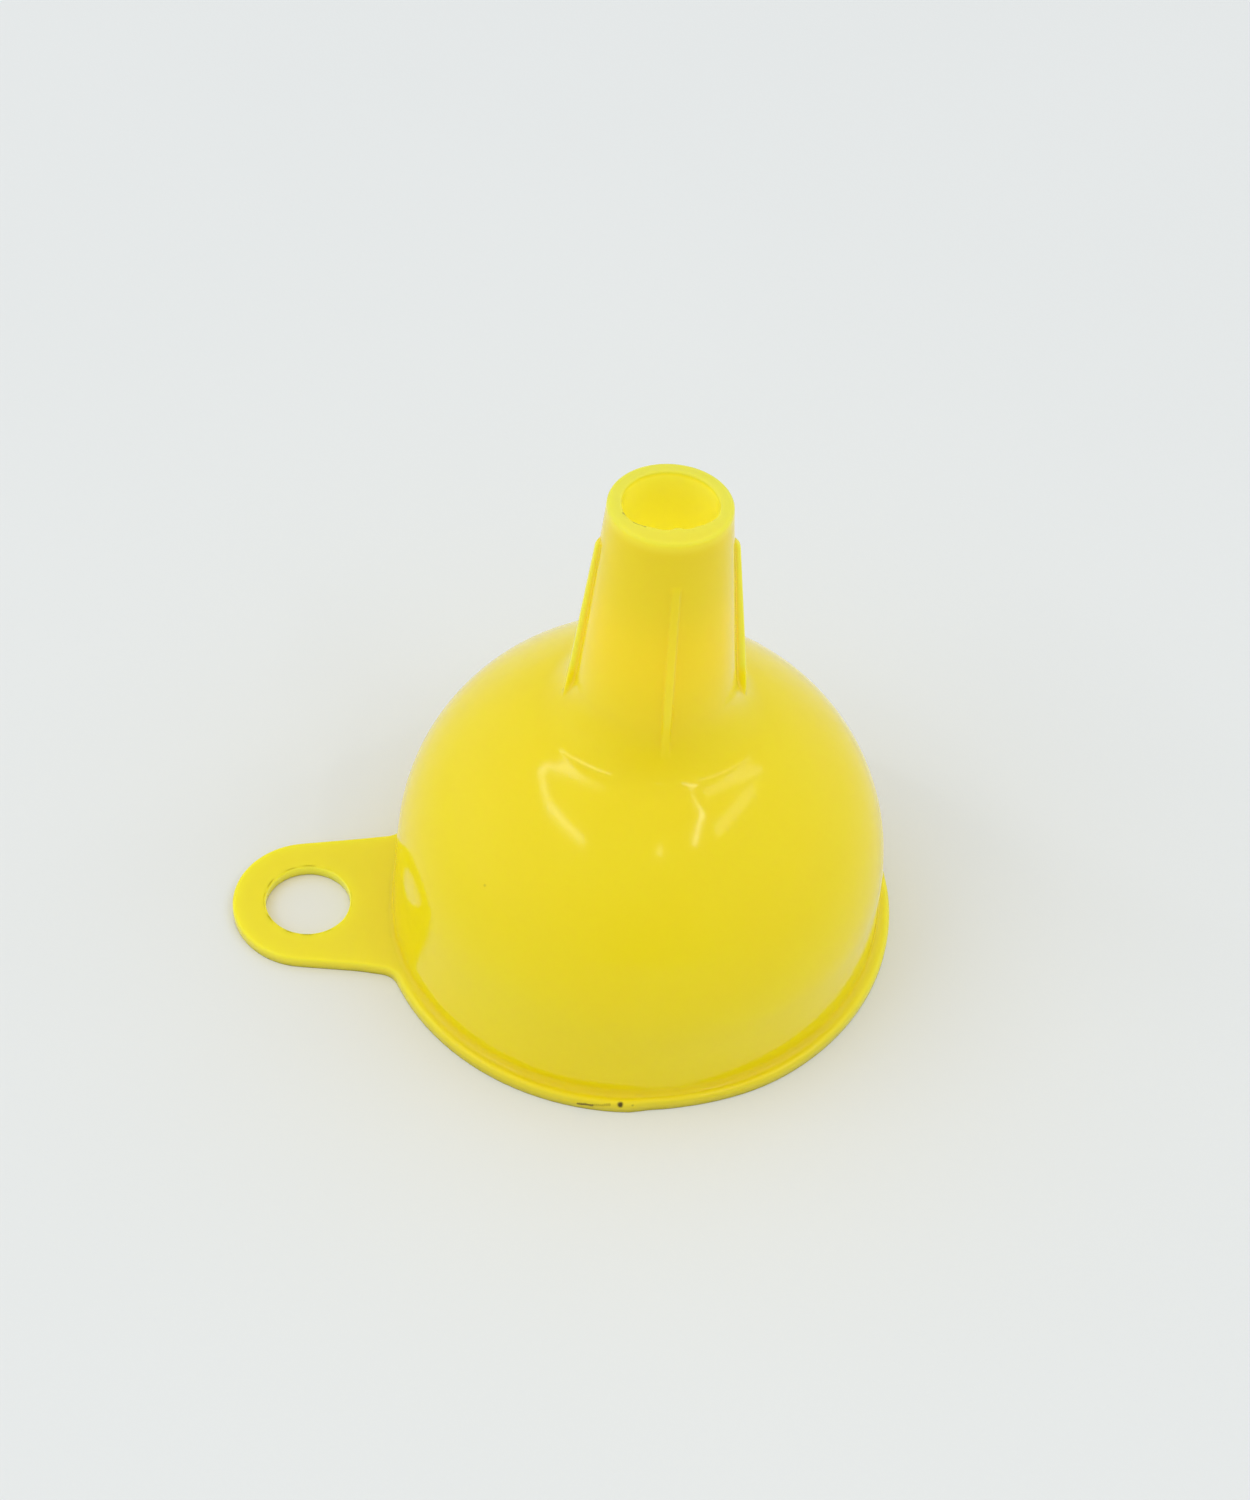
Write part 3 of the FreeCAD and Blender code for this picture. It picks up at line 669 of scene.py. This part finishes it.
def paint_rim_light_and_shade(graph, place, position, normal, around, tint):
    """Lays painted light and shade over a colour: the rim and tab paler and the hang hole's wall
    brighter, and the edges' upright faces and the front darker.
    """
    height = place["Z"]
    # painted light: the thin rim and tab paler
    rim_light_share = fade(graph, "rim by height", height, most=0.85)
    # painted shade: the rim and its edge darker towards the front
    side = fade(graph, "side by y", place["Y"])
    # the rounded and upright faces of the rim's and tab's edge, which get painted shade, and of
    # the hang hole, which gets painted light
    upright = graph.ramp(graph.split(normal)["Z"], 0.98, 0.5)
    from_hole = graph.vector("DISTANCE", position, Vector((-TAB_REACH, 0.0, 0.0)) * MM)
    # painted shade: the edges' upright faces darker
    edge_shade_share = graph.product(upright,
                            fade(graph, "edge outside the hole", from_hole),
                            fade(graph, "edge by height", height),
                            fade(graph, "edge outside the skirt", around))
    # painted light: the hang hole's wall brighter
    in_hole = graph.product(upright, fade(graph, "hole", from_hole))
    tint = graph.mix(rim_light_share, tint, graph.mix(side, RIM_FRONT_PAINTED_SHADE, RIM_PAINTED_LIGHT))
    tint = graph.mix(edge_shade_share, tint, graph.mix(side, EDGE_FRONT_PAINTED_SHADE, EDGE_PAINTED_SHADE))
    return graph.mix(in_hole, tint, HOLE_PAINTED_LIGHT)


def plastic():
    """Yellow polypropylene, coloured through, with painted light where light comes through it
    and painted shade on its edges.
    """
    mat = bpy.data.materials.new("yellow_polypropylene")
    graph = Graph(mat)
    shader = graph.nodes["Principled BSDF"].inputs
    coordinates = graph.nodes.new("ShaderNodeTexCoord").outputs
    position = coordinates["Object"]
    place = graph.split(position)
    around = graph.vector("LENGTH", graph.vector("MULTIPLY", position, (1.0, 1.0, 0.0)))

    cloud = graph.noise(position, CLOUD_SCALE, 4.0)[0]
    tint = graph.mix(cloud, BODY_COLOR_LOW, BODY_COLOR_HIGH)
    tint = paint_spout_light(graph, place, around, tint)
    tint = paint_rim_light_and_shade(graph, place, position, coordinates["Normal"], around, tint)
    graph.set(shader["Base Color"], graph.mix(dirt(graph, position), tint, DIRT_COLOR))

    graph.set(shader["Roughness"], graph.ramp(cloud, 0.3, 0.7, *ROUGHNESS))
    graph.set(shader["IOR"], IOR)
    graph.set(shader["Specular IOR Level"], SPECULAR)
    graph.set(shader["Subsurface Weight"], 1.0)
    graph.set(shader["Subsurface Radius"], SUBSURFACE_RADIUS)
    graph.set(shader["Subsurface Scale"], SUBSURFACE)

    ripple = graph.noise(position, RIPPLE_SCALE, 2.0)[0]
    fine = graph.noise(position, FINE_SCALE, 3.0)[0]
    relief = graph.math("MULTIPLY_ADD", fine, FINE_SHARE, ripple)
    graph.set(shader["Normal"], graph.bump(relief, RIPPLE_DEPTH, 1.0))
    return mat


FLOOR_COLOR_LOW = (0.755, 0.773, 0.776, 1.0)
FLOOR_COLOR_HIGH = (0.775, 0.791, 0.794, 1.0)
FLOOR_ROUGHNESS = (0.78, 0.85)
FLOOR_CLOUD_SCALE, FLOOR_GRAIN_SCALE = 14.0, 2500.0
FLOOR_GRAIN_DEPTH = 0.00002
FLOOR_HALF = 3.0


def paper():
    """The plain sheet it stands on, a little cloudy and with a fine grain."""
    mat = bpy.data.materials.new("paper")
    graph = Graph(mat)
    shader = graph.nodes["Principled BSDF"].inputs
    position = graph.nodes.new("ShaderNodeTexCoord").outputs["Object"]
    cloud = graph.noise(position, FLOOR_CLOUD_SCALE, 3.0)[0]
    grain = graph.noise(position, FLOOR_GRAIN_SCALE, 2.0)[0]
    graph.set(shader["Base Color"], graph.mix(cloud, FLOOR_COLOR_LOW, FLOOR_COLOR_HIGH))
    graph.set(shader["Roughness"], graph.ramp(cloud, 0.3, 0.7, *FLOOR_ROUGHNESS))
    graph.set(shader["Normal"], graph.bump(grain, FLOOR_GRAIN_DEPTH, 0.5))
    return mat


# ---------------------------------------------------------------- camera and light

# Angles in degrees, distances in mm; it aims at a point beside and up the funnel's axis.
CAMERA = {"azimuth": -6.346, "elevation": 48.353, "roll": 4.569, "distance": 356.69,
          "aim_right": -2.713, "aim_up": 27.772, "lens": 75.76, "sensor": 36.0}


def add_camera():
    az, el, roll = (math.radians(CAMERA[k]) for k in ("azimuth", "elevation", "roll"))
    back = Vector((math.sin(az) * math.cos(el), -math.cos(az) * math.cos(el), math.sin(el)))
    right = (-back).cross(Vector((0, 0, 1))).normalized()
    up = right.cross(-back)
    side = right * math.cos(roll) + up * math.sin(roll)
    top = up * math.cos(roll) - right * math.sin(roll)
    aim = Vector((0, 0, CAMERA["aim_up"])) + right * CAMERA["aim_right"]
    place = (aim + back * CAMERA["distance"]) * MM
    data = bpy.data.cameras.new("camera")
    data.lens = CAMERA["lens"]
    data.sensor_width = CAMERA["sensor"]
    camera = bpy.data.objects.new("camera", data)
    turn = Matrix((side, top, back)).transposed().to_4x4()
    camera.matrix_world = Matrix.Translation(place) @ turn
    bpy.context.scene.collection.objects.link(camera)
    bpy.context.scene.camera = camera


def direction(azimuth, elevation):
    a, e = math.radians(azimuth), math.radians(elevation)
    return Vector((math.cos(e) * math.cos(a), math.cos(e) * math.sin(a), math.sin(e)))


# Soft lighter and darker parts of the white tent: bearing, elevation, amount.
TENT = ((270, 8, -0.45), (90, 8, -0.35), (180, 12, 0.26), (0, 12, 0.04), (0, 88, 0.05))
TENT_SHARPNESS = 5.0
TENT_LEVEL = 0.935
TENT_COLOR = (0.985, 1.0, 1.0, 1.0)


def add_world():
    world = bpy.data.worlds.new("tent")
    graph = Graph(world)
    toward = graph.nodes.new("ShaderNodeTexCoord").outputs["Generated"]
    strength = TENT_LEVEL
    for azimuth, elevation, amount in TENT:
        cosine = graph.vector("DOT_PRODUCT", toward, direction(azimuth, elevation))
        power = graph.math("MULTIPLY_ADD", cosine, TENT_SHARPNESS, -TENT_SHARPNESS)
        lobe = graph.math("EXPONENT", power)
        strength = graph.math("MULTIPLY_ADD", lobe, amount, strength)
    background = graph.nodes["Background"].inputs
    graph.set(background["Strength"], strength)
    graph.set(background["Color"], TENT_COLOR)
    bpy.context.scene.world = world


# Thin lamps in the tent's roof, seen as bright strokes on the shoulder: start and end, width,
# in metres, and radiance.
ROOF = 0.63                      # its height
LAMPS_FACE = Vector((0, 0, 0.03))    # the point that they are turned towards
LAMPS = {
    "left_upper": ((-0.73, 0.165), (-0.26, -0.157), 0.021, 8.5),
    "left_lower": ((-0.67, -0.13), (-0.44, -0.43), 0.034, 7.0),
    "left_end": ((-0.73, 0.14), (-0.67, -0.13), 0.030, 5.5),
    "right_upper": ((0.255, -0.238), (0.325, -0.29), 0.020, 6.0),
    "right_lower": ((0.325, -0.29), (0.279, -0.455), 0.030, 9.0),
    "right_far": ((0.32, -0.19), (0.88, 0.16), 0.050, 3.0),
    "right_edge": ((0.77, -0.02), (0.43, -0.38), 0.050, 2.6),
    "front_dot": ((0.050, -0.500), (0.078, -0.500), 0.020, 14.0),
}


def add_lamps():
    for name, (start, end, width, radiance) in LAMPS.items():
        start, end = Vector((*start, ROOF)), Vector((*end, ROOF))
        length = (end - start).length
        data = bpy.data.lights.new(name, "AREA")
        data.shape = "RECTANGLE"
        data.size, data.size_y = length, width
        data.energy = radiance * math.pi * length * width
        lamp = bpy.data.objects.new(name, data)
        along = (end - start).normalized()
        facing = ((start + end) / 2 - LAMPS_FACE).normalized()
        side = facing.cross(along).normalized()
        facing = along.cross(side)
        turn = Matrix((along, side, facing)).transposed().to_4x4()
        lamp.matrix_world = Matrix.Translation((start + end) / 2) @ turn
        lamp.visible_camera = False
        bpy.context.scene.collection.objects.link(lamp)


# Small lamps on the axis: power in watts, height in mm.
INSIDE_LIGHTS = {"bore_light": (0.0008, 52.0), "bowl_light": (0.0010, 16.0)}
INSIDE_LIGHT_COLOR = (0.92, 1.0, 0.7)
INSIDE_LIGHT_RADIUS = 0.003


def add_inside_lights():
    """They stand for the daylight that comes through the wall from all round."""
    for name, (power, height) in INSIDE_LIGHTS.items():
        data = bpy.data.lights.new(name, "POINT")
        data.energy = power
        data.color = INSIDE_LIGHT_COLOR
        data.shadow_soft_size = INSIDE_LIGHT_RADIUS
        lamp = bpy.data.objects.new(name, data)
        lamp.location = (0.0, 0.0, height * MM)
        lamp.visible_camera = False
        lamp.visible_glossy = False
        bpy.context.scene.collection.objects.link(lamp)


def add_floor():
    mesh = bpy.data.meshes.new("floor")
    corners = [(-1, -1), (1, -1), (1, 1), (-1, 1)]
    mesh.from_pydata([(x * FLOOR_HALF, y * FLOOR_HALF, 0) for x, y in corners],
                     [], [(0, 1, 2, 3)])
    mesh.materials.append(paper())
    floor = bpy.data.objects.new("floor", mesh)
    bpy.context.scene.collection.objects.link(floor)


funnel = make_moulding()
funnel.data.materials.append(plastic())
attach(funnel, "root")
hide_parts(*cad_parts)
add_floor()
add_camera()
add_world()
add_lamps()
add_inside_lights()
bpy.context.scene.view_settings.view_transform = "Standard"
